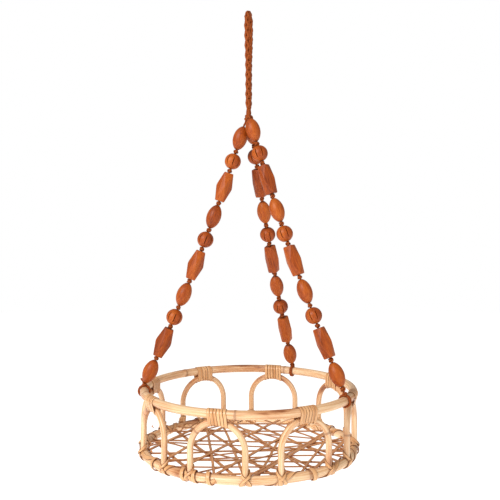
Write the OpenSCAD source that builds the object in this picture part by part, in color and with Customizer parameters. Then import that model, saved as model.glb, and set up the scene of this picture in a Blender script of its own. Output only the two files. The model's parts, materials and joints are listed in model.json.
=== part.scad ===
// Hanging basket of bent cane. Three strands of wooden beads carry it from a braided loop.
// The origin is the inside top of the loop, where a hook bears, and everything hangs below it.
// Angles round the basket are measured from its front (-Y) towards its right (+X).

/* [Basket] */
// Outer diameter of the top and bottom hoops
hoop_od = 300; // [250:1:380]
// Diameter of the hoop cane
hoop_cane_d = 11.5; // [8:0.1:14]
// Height between the centre-lines of the two hoops
basket_h = 79; // [62:1:120]
// Diameter of the arch cane
arch_cane_d = 8; // [6:0.1:10]
// Distance between the centre-lines of an arch's two legs
arch_span = 70; // [50:1:86]
// Width along the hoop of the binding at an arch's head
rim_binding_w = 29; // [20:1:34]
// Length along the hoop of the binding at an arch's foot
foot_binding_w = 15; // [10:1:20]
// Thickness of the peel strip in the bindings
peel_t = 1.2; // [0.8:0.1:2]

/* [Floor] */
// Width of a floor strip
strip_w = 4; // [2:0.5:7]
// Thickness of a floor strip
strip_t = 1.2; // [0.8:0.1:2]
// Distance between parallel floor strips
strip_pitch = 46; // [34:1:60]
// Angle between the crossing layers and the layer that runs left to right
strip_angle = 63; // [45:1:75]

/* [Beads] */
// Diameter of an oval bead
oval_d = 20; // [16:0.5:24]
// Length of an oval bead
oval_l = 33; // [27:0.5:40]
// Diameter of a round bead
round_d = 22.5; // [18:0.5:27]
// Width across the flat end of a faceted bead
facet_end_w = 12.5; // [10:0.5:16]
// Width across the flats at the middle of a faceted bead
facet_mid_w = 16; // [13:0.5:19]
// Length of a faceted bead
facet_l = 41; // [34:0.5:50]
// Diameter of the hole through every bead
bead_bore = 4.4; // [4:0.1:5.5]

/* [Cords] */
// Diameter of a strand's cord
cord_d = 3; // [2.4:0.1:3.4]
// Diameter of a knot between two beads
knot_d = 8.2; // [6.5:0.1:10]
// Length of a knot on the left strand, whose knots are the shortest
knot_l = 5.5; // [4.5:0.1:7]
// How far a strand sags from a straight line
strand_sag = 7; // [0:0.5:10]
// Diameter of the braid in the hanging loop
braid_d = 8.5; // [6:0.1:10]
// Diameter of the knot that gathers the braid and the strands
crown_d = 10; // [8:0.1:11]

/* [Hidden] */
$fn = 48;
ARCH_N = 8;
ARCH_FIRST = -15.5;
STRANDS = ["left", "right", "back"];
// Where each strand is hitched to the top hoop, and the knots it has beyond the last bead
HITCH_ANGLE = [-85, 60, 152];
HITCH_KNOTS = [1, 2, 1];
// Where each strand leaves the crown, in plan, as shares of an oval bead's diameter
STRAND_TOP = [[-0.3, -0.01], [0.035, -0.425], [0.1, 0.35]];
// The knots are tied by hand, so a strand's are longer than the shortest ones by these factors
KNOT_STRETCH = [1, 1.06, 1.15];
BEAD_ORDER = ["oval", "round", "facet", "oval", "round", "facet", "oval", "round", "facet", "oval"];
BEAD_N = len(BEAD_ORDER);
// An oval or round bead is a little shorter than the full ellipse or ball, so its ends are flat
ROUND_SHARE = 0.955;
OVAL_SHARE = 0.943;
FLUTE_N = 8;
FLUTE_W = 0.9;
FLUTE_DEPTH = 4.5;
FLUTE_DISC_R = 8;

// The gaps that keep pieces apart: bead to knot, joint faces, and cane laid against cane
BEAD_GAP = 0.5;
JOINT_GAP = 0.6;
CANE_GAP = 0.2;

// The front half of the hanging loop from its top, as [distance forward, height]; the back half mirrors it
leg_y = braid_d / 2 + 0.2;
BIGHT_ROUTE = [[0, 4], [9, 2], [15, -4], [17, -12]];
LEG_ROUTE = [[17, -13], [15.5, -28], [11, -48], [6, -70], [leg_y, -92], [leg_y, -116], [leg_y, -136]];
LOOP_TURN = -7;
BRAID_SIDES = 12;
STRAND_SIDES = 10;
RING_STEP = 14;

hoop_r = (hoop_od - hoop_cane_d) / 2;
hoop_cane_r = hoop_cane_d / 2;
arch_cane_r = arch_cane_d / 2;
arch_r = arch_span / 2;
// The arches stand in flat planes, between the hoops' radius at their heads and at their feet
arch_plane_r = (hoop_r + sqrt(pow(hoop_r, 2) - pow(arch_r, 2))) / 2;
arch_drop = hoop_cane_r + arch_cane_r + CANE_GAP;
// How far the bottom hoop bends away from a straight foot binding
foot_curve = pow(foot_binding_w / 2, 2) / (2 * hoop_r) + CANE_GAP / 2;
round_l = round_d * ROUND_SHARE;
cord_r = cord_d / 2;
// The swell of one knot: [how far along it from its middle as a share of its half length, radius there]
KNOT_SHAPE = [for (t = [-1, -0.6, 0, 0.6, 1]) [t, cord_r + (knot_d / 2 - cord_r) * sqrt(1 - t * t)]];

// The crown hangs just below the loop's legs, and the top hoop hangs from the crown by the strands
leg_end_z = LEG_ROUTE[len(LEG_ROUTE) - 1][1];
crown_z = leg_end_z - JOINT_GAP - crown_d / 2;
// The right strand leaves the crown a little above its centre
STRAND_RISE = 2;
rim_z = crown_z + STRAND_RISE - strand_drop(1) - hitch_h(1);
base_z = rim_z - basket_h;

function plan(r, angle) = [r * sin(angle), -r * cos(angle)];
function unit(v) = v / norm(v);
function bead_l(i) = BEAD_ORDER[i] == "oval" ? oval_l : BEAD_ORDER[i] == "round" ? round_l : facet_l;
function knot_len(k) = knot_l * KNOT_STRETCH[k];
function knot_gap(k) = knot_len(k) + 2 * BEAD_GAP;
function hitch_h(k) = hoop_cane_r + knot_len(k) / 2 + CANE_GAP;
// Distance down strand k from its top to the knot above bead i
function knot_at(k, i) = i == 0 ? 0 : knot_at(k, i - 1) + bead_l(i - 1) + knot_gap(k);
function strand_l(k) = knot_at(k, BEAD_N) + (HITCH_KNOTS[k] - 1) * knot_gap(k);
function strand_top(k) = STRAND_TOP[k] * oval_d;
function strand_reach(k) = norm(plan(hoop_r, HITCH_ANGLE[k]) - strand_top(k));
function strand_drop(k) = sqrt(pow(strand_l(k), 2) - pow(strand_reach(k), 2));
function hitch_point(k) = concat(plan(hoop_r, HITCH_ANGLE[k]), [rim_z + hitch_h(k)]);
function strand_start(k) = concat(strand_top(k), [rim_z + hitch_h(k) + strand_drop(k)]);
// A point on strand k at a distance from its top, with the sag towards the axis and down
function strand_point(k, at) =
  let(a = strand_start(k), b = hitch_point(k), t = at / strand_l(k),
      side = cross(b - a, [0, 0, 1]), down = unit(cross(b - a, side)) )
  a + (b - a) * t + down * (down[2] < 0 ? 1 : -1) * 4 * strand_sag * t * (1 - t);
function knot_point(k, i) = strand_point(k, knot_at(k, i));
function bead_name(k, i) =
  str(STRANDS[k], "_bead_", i < 9 ? "0" : "", i + 1, "_", BEAD_ORDER[i]);
function arch_angle(n) = ARCH_FIRST + n * 360 / ARCH_N;

// ---- Sweeps ----

function catmull(p0, p1, p2, p3, t) =
  0.5 * (2 * p1 + (p2 - p0) * t + (2 * p0 - 5 * p1 + 4 * p2 - p3) * t * t
  + (3 * p1 - p0 - 3 * p2 + p3) * t * t * t);
// A smooth line through the points of a route, with a ring about every RING_STEP
function smooth(p) = let(n = len(p)) concat(
  [for (i = [0:n - 2])
    let(a = p[max(i - 1, 0)], b = p[i], c = p[i + 1], d = p[min(i + 2, n - 1)],
        steps = max(1, ceil(norm(c - b) / RING_STEP)))
    for (s = [0:steps - 1]) catmull(a, b, c, d, s / steps)],
  [p[n - 1]]);
function tangent(p, i) = unit(p[i + 1] - p[i - 1]);

// One ring of a tube about point p: its first corner lies towards ref, square to the tube's direction
function ring(p, dir, ref, r, sides) =
  let(u = unit(ref - (ref * dir) * dir), v = cross(u, dir))
  [for (j = [0:sides - 1]) p + r * (cos(360 * j / sides) * u + sin(360 * j / sides) * v)];

// A closed tube through points p, with a direction and a radius for each ring
module tube(p, dirs, radii, ref, sides) {
  last = len(p) - 1;
  corners = [for (i = [0:last]) for (c = ring(p[i], dirs[i], ref, radii[i], sides)) c];
  walls = [for (i = [0:last - 1]) for (j = [0:sides - 1])
    let(a = i * sides + j, b = i * sides + (j + 1) % sides)
    [a, b, b + sides, a + sides]];
  ends = [[for (j = [sides - 1:-1:0]) j], [for (j = [0:sides - 1]) last * sides + j]];
  polyhedron(corners, concat(walls, ends), convexity = 4);
}

// A plain tube of one radius whose two ends are cut square to end_a and end_b
module braid_tube(p, end_a, end_b) {
  last = len(p) - 1;
  dirs = [for (i = [0:last]) i == 0 ? end_a : i == last ? end_b : tangent(p, i)];
  tube(p, dirs, [for (i = p) braid_d / 2], [1, 0, 0], BRAID_SIDES);
}

function loop_side(route, side) = [for (p = route) [0, -side * p[0], p[1]]];

// ---- Hanging loop ----

module loop_bight() {
  front = smooth(loop_side(BIGHT_ROUTE, 1));
  back = smooth(loop_side(BIGHT_ROUTE, -1));
  whole = concat([for (i = [len(front) - 1:-1:1]) front[i]], back);
  color("saddlebrown") rotate([0, 0, LOOP_TURN]) braid_tube(whole, [0, 0, 1], [0, 0, -1]);
}

module loop_legs() {
  color("saddlebrown") rotate([0, 0, LOOP_TURN]) for (side = [-1, 1])
    braid_tube(smooth(loop_side(LEG_ROUTE, side)), [0, 0, -1], [0, 0, -1]);
}

module crown_knot() {
  color("saddlebrown") translate([0, 0, crown_z]) sphere(d = crown_d);
}

// ---- Cane frame ----

module hoop(z) {
  translate([0, 0, z]) rotate_extrude($fn = 96) translate([hoop_r, 0]) circle(r = hoop_cane_r);
}

module rim_hoop() { color("burlywood") hoop(rim_z); }

module base_hoop() { color("burlywood") hoop(base_z); }

// Places its children at an arch: X along the hoop, Y outwards, Z up from the top hoop's centre
module at_arch(n) {
  rotate([0, 0, arch_angle(n)]) translate([0, -arch_plane_r, rim_z]) rotate([0, 0, 180]) children();
}

// One bent cane: a half ring for its head and two straight legs that sit on the bottom hoop
module arch_cane() {
  spring = -arch_drop - arch_r;
  translate([0, 0, spring]) rotate([90, 0, 0]) rotate_extrude(angle = 180)
    translate([arch_r, 0]) circle(r = arch_cane_r);
  for (side = [-1, 1]) translate([side * arch_r, 0, -basket_h + hoop_cane_r / 2])
    cylinder(r = arch_cane_r, h = spring + basket_h - hoop_cane_r / 2);
}

module arch(n) {
  color("burlywood") difference() {
    at_arch(n) arch_cane();
    hoop(base_z);
  }
}

// ---- Bindings ----

// Peel strip wound round the top hoop and an arch's head, as one sleeve that follows the hoop
module rim_binding(n) {
  turn = rim_binding_w / hoop_r * 180 / PI;
  head_drop = arch_drop + arch_r - sqrt(pow(arch_r, 2) - pow(rim_binding_w / 2, 2));
  color("tan") difference() {
    translate([0, 0, rim_z]) rotate([0, 0, arch_angle(n) - 90 - turn / 2]) rotate_extrude(angle = turn) hull() {
      translate([hoop_r, 0]) circle(r = hoop_cane_r + peel_t, $fn = 32);
      translate([arch_plane_r, -head_drop]) circle(r = arch_cane_r + peel_t, $fn = 32);
    }
    hoop(rim_z);
    at_arch(n) arch_cane();
  }
}

// Peel strip wound round the bottom hoop and the leg that stands on it
module foot_binding() {
  lean = hoop_r * cos(asin(arch_r / hoop_r)) - arch_plane_r;
  difference() {
    union() {
      translate([0, lean, 0]) rotate([0, 90, 0])
        cylinder(r = hoop_cane_r + peel_t + foot_curve, h = foot_binding_w, center = true);
      cylinder(r = arch_cane_r + peel_t, h = hoop_cane_r + foot_binding_w / 2);
    }
    cylinder(r = arch_cane_r, h = hoop_cane_r + foot_binding_w);
  }
}

module foot_bindings() {
  color("tan") difference() {
    for (n = [0:ARCH_N - 1]) at_arch(n) for (side = [-1, 1])
      translate([side * arch_r, 0, -basket_h]) rotate([0, 0, -side * asin(arch_r / hoop_r)]) foot_binding();
    hoop(base_z);
    for (layer = [-1:1]) floor_layer(layer);
  }
}

// ---- Floor ----

// Parallel strips of one layer, uncut; layer 0 runs left to right and the others cross it
module floor_layer(layer) {
  count = 2 * floor((hoop_r - hoop_cane_r - strip_w) / strip_pitch + 0.5);
  rotate([0, 0, layer * strip_angle]) translate([0, 0, base_z + layer * strip_t])
    for (i = [0:count - 1]) {
      off = (i - (count - 1) / 2) * strip_pitch;
      reach = sqrt(pow(hoop_r, 2) - pow(off, 2));
      translate([0, off, 0]) cube([2 * reach, strip_w, strip_t], center = true);
    }
}

module floor_strips(layer) {
  color("peru") difference() {
    floor_layer(layer);
    hoop(base_z);
  }
}

// ---- Strands ----

// Turns its children so that their Z axis runs from a to b, with their origin halfway
module along(a, b) {
  d = b - a;
  translate((a + b) / 2) rotate([0, acos(d[2] / norm(d)), atan2(d[1], d[0])]) children();
}

// One strand's cord as one tube: from the crown through every bead, swelling at each knot
module strand_cord(k) {
  crown = [0, 0, crown_z];
  start = strand_start(k);
  hitch = hitch_point(k);
  knots = concat([for (i = [1:BEAD_N]) knot_point(k, i)], HITCH_KNOTS[k] > 1 ? [hitch] : []);
  last = len(knots) - 1;
  out = unit(start - crown);
  down = unit(knots[0] - start);
  way = [for (i = [0:last])
    unit(unit(knots[i] - (i == 0 ? start : knots[i - 1])) + unit(knots[min(i + 1, last)] - knots[max(0, i - 1)]))];
  points = concat([crown + out * (crown_d / 2 + JOINT_GAP), start],
    [for (i = [0:last]) for (s = KNOT_SHAPE) knots[i] + way[i] * s[0] * knot_len(k) / 2]);
  dirs = concat([out, unit(out + down)], [for (i = [0:last]) for (s = KNOT_SHAPE) way[i]]);
  radii = concat([cord_r, cord_r], [for (i = [0:last]) for (s = KNOT_SHAPE) s[1]]);
  color("sienna") {
    tube(points, dirs, radii, cross([hitch[0], hitch[1], 0], [0, 0, 1]), STRAND_SIDES);
    rotate([0, 0, HITCH_ANGLE[k]]) translate([0, -hoop_r, rim_z]) rotate([0, 90, 0])
      rotate_extrude() translate([hoop_cane_r + cord_r + CANE_GAP / 2, 0]) circle(r = cord_r);
  }
}

// ---- Beads ----

module oval_bead() {
  rotate_extrude() intersection() {
    scale([oval_d * OVAL_SHARE / oval_l, 1]) circle(d = oval_l / OVAL_SHARE);
    translate([0, -oval_l / 2]) square([oval_d, oval_l]);
  }
}

// A ball cut by saw grooves that stop short of its flat ends
module round_bead() {
  difference() {
    intersection() {
      sphere(d = round_d);
      cube([2 * round_d, 2 * round_d, round_l], center = true);
    }
    for (n = [0:FLUTE_N - 1]) rotate([0, 0, n * 360 / FLUTE_N])
      translate([round_d / 2 - FLUTE_DEPTH + FLUTE_DISC_R, 0, 0]) rotate([90, 0, 0])
        cylinder(r = FLUTE_DISC_R, h = FLUTE_W, center = true);
  }
}

module facet_bead() {
  hull() {
    for (side = [-1, 1]) translate([0, 0, side * (facet_l - 1) / 2])
      cube([facet_end_w, facet_end_w, 1], center = true);
    rotate([0, 0, 45]) cube([facet_mid_w, facet_mid_w, 1], center = true);
  }
}

module bead(k, i) {
  kind = BEAD_ORDER[i];
  color("chocolate") along(knot_point(k, i), knot_point(k, i + 1)) difference() {
    if (kind == "oval") oval_bead();
    else if (kind == "round") round_bead();
    else facet_bead();
    cylinder(d = bead_bore, h = facet_l * 2, center = true);
  }
}

loop_bight();
loop_legs();
crown_knot();
rim_hoop();
base_hoop();
for (n = [0:ARCH_N - 1]) arch(n);
for (n = [0:ARCH_N - 1]) rim_binding(n);
foot_bindings();
floor_strips(0);  // floor_strips_across
floor_strips(1);  // floor_strips_rising
floor_strips(-1);  // floor_strips_falling
for (k = [0:2]) strand_cord(k);
for (k = [0:2]) for (i = [0:BEAD_N - 1])
  bead(k, i);
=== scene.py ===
"""The look of a hanging cane basket: bent cane, three strands of wooden beads and a braided loop."""

import json
import logging
import math
from collections.abc import Callable, Sequence
from dataclasses import dataclass, field
from enum import Enum
from functools import partial
from typing import Any

import bmesh
import bpy
import numpy as np
from mathutils import Matrix, Vector, noise


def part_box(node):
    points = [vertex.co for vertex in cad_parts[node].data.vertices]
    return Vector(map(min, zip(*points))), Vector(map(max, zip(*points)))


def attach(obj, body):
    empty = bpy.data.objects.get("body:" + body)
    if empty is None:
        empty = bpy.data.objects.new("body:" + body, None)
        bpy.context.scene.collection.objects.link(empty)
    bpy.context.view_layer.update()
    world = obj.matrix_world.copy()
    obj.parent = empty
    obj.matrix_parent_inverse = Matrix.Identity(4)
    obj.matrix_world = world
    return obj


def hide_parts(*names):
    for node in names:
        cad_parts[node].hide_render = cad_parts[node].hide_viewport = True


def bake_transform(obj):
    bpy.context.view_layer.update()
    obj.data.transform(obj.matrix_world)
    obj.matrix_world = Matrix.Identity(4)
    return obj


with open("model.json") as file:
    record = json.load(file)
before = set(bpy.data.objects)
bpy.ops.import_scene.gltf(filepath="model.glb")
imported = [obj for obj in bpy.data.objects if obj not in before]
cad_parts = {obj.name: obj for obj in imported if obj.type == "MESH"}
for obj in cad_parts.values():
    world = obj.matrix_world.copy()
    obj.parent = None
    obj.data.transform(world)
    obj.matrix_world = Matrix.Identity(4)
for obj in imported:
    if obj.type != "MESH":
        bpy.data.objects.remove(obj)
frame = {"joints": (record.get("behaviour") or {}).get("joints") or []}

Points = np.ndarray
Socket = bpy.types.NodeSocket
Add = Callable[..., Any]
MM = 0.001
NOISE_SEED = 1
log = logging.getLogger("hanging_basket")


# ---- Colour and nodes ----


def srgb(code: str) -> tuple[float, float, float, float]:
    """Turns a colour written as sRGB hex into linear light.

    Args:
        code: Six hex digits after a hash.

    Returns:
        The linear red, green and blue, and an alpha of one.
    """
    parts = [int(code[i : i + 2], 16) / 255 for i in (1, 3, 5)]
    linear = [c / 12.92 if c <= 0.04045 else ((c + 0.055) / 1.055) ** 2.4 for c in parts]
    return (linear[0], linear[1], linear[2], 1.0)


def put(
    tree: bpy.types.NodeTree,
    kind: str,
    inputs: dict[str | int, Any] | None = None,
    take: str | int = 0,
    **settings: Any,
) -> Socket | None:
    """Adds one node with its settings, its input values and its links.

    Args:
        tree: The node tree that gets the node.
        kind: The node's type name.
        inputs: Values for the inputs by name or number. A socket is linked instead.
        take: The output that is wanted, by name or number.
        **settings: Properties of the node. "stops" gives a colour ramp's stops, and "keeps" gives
            the name and type of each value that is captured.

    Returns:
        The wanted output, or None for a node without any.
    """
    node = tree.nodes.new(kind)
    stops = settings.pop("stops", ())
    for name, data_type in settings.pop("keeps", {}).items():
        node.capture_items.new(data_type, name)
    for name, value in settings.items():
        setattr(node, name, value)
    if stops:
        elements = node.color_ramp.elements
        while len(elements) < len(stops):
            elements.new(1.0)
        for element, (place, colour) in zip(elements, stops):
            element.position = place
            element.color = srgb(colour)
    for name, value in (inputs or {}).items():
        if isinstance(value, Socket):
            tree.links.new(value, node.inputs[name])
        else:
            node.inputs[name].default_value = value
    return node.outputs[take] if node.outputs else None


def fibres_along(add: Add, width: float, length: float, detail: float) -> tuple[Socket, Socket]:
    """Draws long soft streaks that follow a piece's own grain.

    Args:
        add: Adds a node to the material.
        width: About how wide a streak is.
        length: About how long it is.
        detail: How finely it frays.

    Returns:
        The grain's coordinates, and the streaks.
    """
    grain = add("ShaderNodeAttribute", take="Vector", attribute_name="grain")
    scale = (1 / length, 1 / width, 1 / width)
    drawn = add("ShaderNodeVectorMath", {0: grain, 1: scale}, operation="MULTIPLY")
    return grain, add("ShaderNodeTexNoise", {"Vector": drawn, "Scale": 1.0, "Detail": detail})


# ---- Finishes ----


@dataclass(frozen=True)
class Finish:
    """A finish, and the way to make its material."""

    name: str

    def make(self) -> bpy.types.Material:
        """Builds the material.

        Returns:
            The material, with one Principled shader in it.
        """
        material = bpy.data.materials.new(self.name)
        material.use_nodes = True
        material.node_tree.nodes.clear()
        add = partial(put, material.node_tree)
        add("ShaderNodeOutputMaterial", {"Surface": add("ShaderNodeBsdfPrincipled", self.surface(add))})
        return material

    def surface(self, add: Add) -> dict[str, Any]:
        """Adds the finish's own nodes.

        Args:
            add: Adds a node to the material.

        Returns:
            A value or a socket for each input of the shader that the finish sets.
        """
        raise NotImplementedError


@dataclass(frozen=True)
class PeeledCane(Finish):
    """Rattan cane, steam-bent, scraped and varnished.

    The eye sees peach-coloured cane with long fine fibres, a brown ring at each growth node with
    browning either side that also paints the shade beside the node's swelling, and brown patches
    where the outer skin was left on.
    """

    name: str = "varnished_rattan_cane"
    pale: str = "#F0CDA3"
    straw: str = "#D69F6A"
    tan: str = "#C9905F"
    skin: str = "#874A22"
    node_browning_shade: str = "#B0714A"
    ring: str = "#80492A"
    fibre_w: float = 1.4 * MM
    fibre_l: float = 70 * MM
    patch_w: float = 16 * MM
    patch_l: float = 75 * MM
    node_pitch: float = 165 * MM
    ragged: float = 6 * MM

    def surface(self, add: Add) -> dict[str, Any]:
        """Adds the fibres, the skin patches, the growth nodes' rings and the painted shade beside them.

        Args:
            add: Adds a node to the material.

        Returns:
            A value or a socket for each input of the shader that the finish sets.
        """
        grain, fibres = fibres_along(add, self.fibre_w, self.fibre_l, 3.0)
        patches = fibres_along(add, self.patch_w, self.patch_l, 6.0)[1]
        along = add("ShaderNodeSeparateXYZ", {0: grain})
        near = add("ShaderNodeMath", {0: along, 1: self.node_pitch / 2}, operation="PINGPONG")
        shift = {0: patches, 1: self.ragged, 2: -self.ragged / 2}
        ragged = add("ShaderNodeMath", shift, operation="MULTIPLY_ADD")
        uneven = add("ShaderNodeMath", {0: near, 1: ragged}, operation="ADD")
        tint = add("ShaderNodeValToRGB", {"Fac": fibres}, stops=[(0.34, self.straw), (0.6, self.pale)])
        # Each layer of colour: what it follows, where it begins, where it is full, how full, its colour
        layers = (
            (patches, 0.46, 0.64, 0.7, self.tan, "MULTIPLY"),
            (patches, 0.6, 0.67, 0.85, self.skin, "MIX"),
            # Browning either side of each node, partly painted shade beside the node's swelling
            (near, 12 * MM, MM, 0.25, self.node_browning_shade, "MIX"),
            (uneven, 1.9 * MM, 0.7 * MM, 0.5, self.ring, "MIX"),
        )
        for source, begin, full, most, colour, blend in layers:
            share = add("ShaderNodeMapRange", {"Value": source, "From Min": begin, "From Max": full, "To Max": most})
            parts = {0: share, 6: tint, 7: srgb(colour)}
            tint = add("ShaderNodeMix", parts, 2, data_type="RGBA", blend_type=blend)
        rough = add("ShaderNodeMapRange", {"Value": fibres, "To Min": 0.34, "To Max": 0.52})
        bump = add("ShaderNodeBump", {"Height": fibres, "Strength": 0.35, "Distance": 0.4 * MM})
        coat = {"Coat Weight": 0.2, "Coat Roughness": 0.25}
        return {"Base Color": tint, "Roughness": rough, "Normal": bump, **coat}


@dataclass(frozen=True)
class SplitPeel(Finish):
    """Flat strip split from the outside of a cane.

    The eye sees a smooth, faintly glossy face with straight fibres, and darker edges painted as the shade where
    strips meet.
    """

    face: str
    streak: str
    edge_shade: str
    gloss: float = 0.36
    fibre_w: float = 0.9 * MM
    fibre_l: float = 40 * MM
    cloud_w: float = 1 / 60
    cloud_l: float = 1 / 28

    def surface(self, add: Add) -> dict[str, Any]:
        """Adds the fibres, slow clouds of tone and painted shade along the edges.

        Args:
            add: Adds a node to the material.

        Returns:
            A value or a socket for each input of the shader that the finish sets.
        """
        fibres = fibres_along(add, self.fibre_w, self.fibre_l, 3.0)[1]
        clouds = fibres_along(add, self.cloud_w, self.cloud_l, 2.0)[1]
        rim = add("ShaderNodeAttribute", take="Fac", attribute_name="rim")
        cast = add("ShaderNodeMath", {0: clouds, 1: 0.7, 2: -0.35}, operation="MULTIPLY_ADD")
        both = add("ShaderNodeMath", {0: fibres, 1: cast}, operation="ADD")
        body = add("ShaderNodeValToRGB", {"Fac": both}, stops=[(0.3, self.streak), (0.58, self.face)])
        # Painted shade along each strip's edges, where strips meet and the gaps between them show
        edge_shade_share = add("ShaderNodeMapRange", {"Value": rim, "From Min": 0.3, "From Max": 0.95, "To Max": 0.95})
        edge_shaded = add("ShaderNodeMix", {0: edge_shade_share, 6: body, 7: srgb(self.edge_shade)}, 2, data_type="RGBA")
        bump = add("ShaderNodeBump", {"Height": fibres, "Strength": 0.3, "Distance": 0.3 * MM})
        coat = {"Coat Weight": 0.15, "Coat Roughness": 0.3}
        return {"Base Color": edge_shaded, "Normal": bump, "Roughness": self.gloss, **coat}


@dataclass(frozen=True)
class StainedBeadWood(Finish):
    """Turned and sawn hardwood, stained red-brown and varnished.

    The eye sees warm orange-brown with darker lengthwise fibres, a lighter or darker bead here
    and there, darker end grain round the holes, painted shade down the bore and in the saw
    slits, and a soft varnish shine.
    """

    name: str = "stained_varnished_beech"
    light: str = "#B65C18"
    body: str = "#9C440C"
    dark: str = "#6E2A06"
    soak_and_shade: str = "#3E1305"
    fibre_w: float = 1.2 * MM
    fibre_l: float = 14 * MM
    ring_gap: float = 3.2 * MM

    def surface(self, add: Add) -> dict[str, Any]:
        """Adds the fibres, the year rings, each bead's own tone, and the soaked end grain with
        painted shade in the bore and the slits.

        Args:
            add: Adds a node to the material.

        Returns:
            A value or a socket for each input of the shader that the finish sets.
        """
        grain, fibres = fibres_along(add, self.fibre_w, self.fibre_l, 4.0)
        rim = add("ShaderNodeAttribute", take="Fac", attribute_name="rim")
        wave = {"Scale": 1 / (self.ring_gap * 20), "Distortion": 2.5, "Detail": 2.0, "Detail Scale": 1.5}
        years = add("ShaderNodeTexWave", {"Vector": grain, **wave}, "Fac", wave_type="BANDS", bands_direction="Y")
        tone = add("ShaderNodeTexNoise", {"Vector": grain, "Scale": 2.0, "Detail": 0.0})
        streaks = add("ShaderNodeMath", {0: years, 1: 0.22, 2: -0.11}, operation="MULTIPLY_ADD")
        cast = add("ShaderNodeMath", {0: tone, 1: 0.6, 2: -0.3}, operation="MULTIPLY_ADD")
        part = add("ShaderNodeMath", {0: streaks, 1: cast}, operation="ADD")
        whole = add("ShaderNodeMath", {0: fibres, 1: part}, operation="ADD")
        stops = [(0.12, self.dark), (0.45, self.body), (0.8, self.light)]
        wood = add("ShaderNodeValToRGB", {"Fac": whole}, stops=stops)
        # Darker soaked end grain round each hole, with painted shade down the bore and in the saw slits
        stained = add("ShaderNodeMix", {0: rim, 6: wood, 7: srgb(self.soak_and_shade)}, 2, data_type="RGBA")
        bump = add("ShaderNodeBump", {"Height": fibres, "Strength": 0.18, "Distance": 0.3 * MM})
        rough = add("ShaderNodeMapRange", {"Value": fibres, "To Min": 0.42, "To Max": 0.58})
        coat = {"Specular IOR Level": 0.25, "Coat Weight": 0.08, "Coat Roughness": 0.3}
        return {"Base Color": stained, "Roughness": rough, "Normal": bump, **coat}


@dataclass(frozen=True)
class WaxedCord(Finish):
    """Waxed three-ply cotton cord.

    The eye sees dull rust-brown with a slanting ply line every few millimetres and a faint fuzz,
    with painted shade in the grooves between the plies and their crowns painted lit.
    """

    name: str = "waxed_cotton_cord"
    lit: str = "#95450E"
    groove_shade: str = "#4E1E06"
    plies: int = 3
    lay: float = 7 * MM

    def surface(self, add: Add) -> dict[str, Any]:
        """Adds the ply lines, which turn round the cord as they run along it, and the fuzz, and
        paints shade into the grooves between the plies.

        Args:
            add: Adds a node to the material.

        Returns:
            A value or a socket for each input of the shader that the finish sets.
        """
        grain = add("ShaderNodeAttribute", take="Vector", attribute_name="grain")
        along, across, out = add("ShaderNodeSeparateXYZ", {0: grain}).node.outputs
        angle = add("ShaderNodeMath", {0: out, 1: across}, operation="ARCTAN2")
        turned = add("ShaderNodeMath", {0: angle, 1: float(self.plies)}, operation="MULTIPLY")
        rate = 2 * math.pi * self.plies / self.lay
        phase = add("ShaderNodeMath", {0: along, 1: rate, 2: turned}, operation="MULTIPLY_ADD")
        ply = add("ShaderNodeMath", {0: phase}, operation="SINE")
        fuzz = add("ShaderNodeTexNoise", {"Vector": grain, "Scale": 900.0, "Detail": 2.0})
        height = add("ShaderNodeMath", {0: ply, 1: 0.22, 2: fuzz}, operation="MULTIPLY_ADD")
        # Painted shade in the grooves between the plies, and painted light on their crowns
        colour = add("ShaderNodeValToRGB", {"Fac": height}, stops=[(0.0, self.groove_shade), (0.55, self.lit)])
        bump = add("ShaderNodeBump", {"Height": height, "Strength": 0.4, "Distance": 0.3 * MM})
        return {"Base Color": colour, "Normal": bump, "Roughness": 0.7, "Specular IOR Level": 0.25}


@dataclass(frozen=True)
class PalePaper(Finish):
    """White studio paper, matt and even."""

    name: str = "studio_paper"
    white: str = "#FFFFFF"
    shade: str = "#FCFCFC"

    def surface(self, add: Add) -> dict[str, Any]:
        """Adds a trace of mottle and the light that the paper seems to give back.

        Args:
            add: Adds a node to the material.

        Returns:
            A value or a socket for each input of the shader that the finish sets.
        """
        mottle = add("ShaderNodeTexNoise", {"Scale": 3.0})
        tone = add("ShaderNodeValToRGB", {"Fac": mottle}, stops=[(0.0, self.shade), (1.0, self.white)])
        glow = {"Emission Color": srgb(self.white), "Emission Strength": 0.62}
        return {"Base Color": tone, "Roughness": 0.9, **glow}


class Slot(Enum):
    """The record's material slots."""

    CANE = "cane"
    PEEL = "cane_peel"
    FLOOR = "floor_strip"
    BEAD = "stained_bead_wood"
    CORD = "waxed_cord"


FINISHES: dict[Slot, Finish] = {
    Slot.CANE: PeeledCane(),
    # Each peel finish: its name, its face and streak colours, its painted edge shade, and for the floor its gloss
    Slot.PEEL: SplitPeel("rattan_peel", "#E3B07C", "#BE8049", "#6E3A17"),
    Slot.FLOOR: SplitPeel("rattan_floor_strip", "#DA9C64", "#BA7743", "#80481F", 0.45),
    Slot.BEAD: StainedBeadWood(),
    Slot.CORD: WaxedCord(),
}
MATERIALS: dict[Slot, bpy.types.Material] = {}


# ---- Lines and sweeps ----


def unit(v: Points) -> Points:
    """Scales vectors to a length of one."""
    return v / np.maximum(np.linalg.norm(v, axis=-1, keepdims=True), 1e-12)


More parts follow.
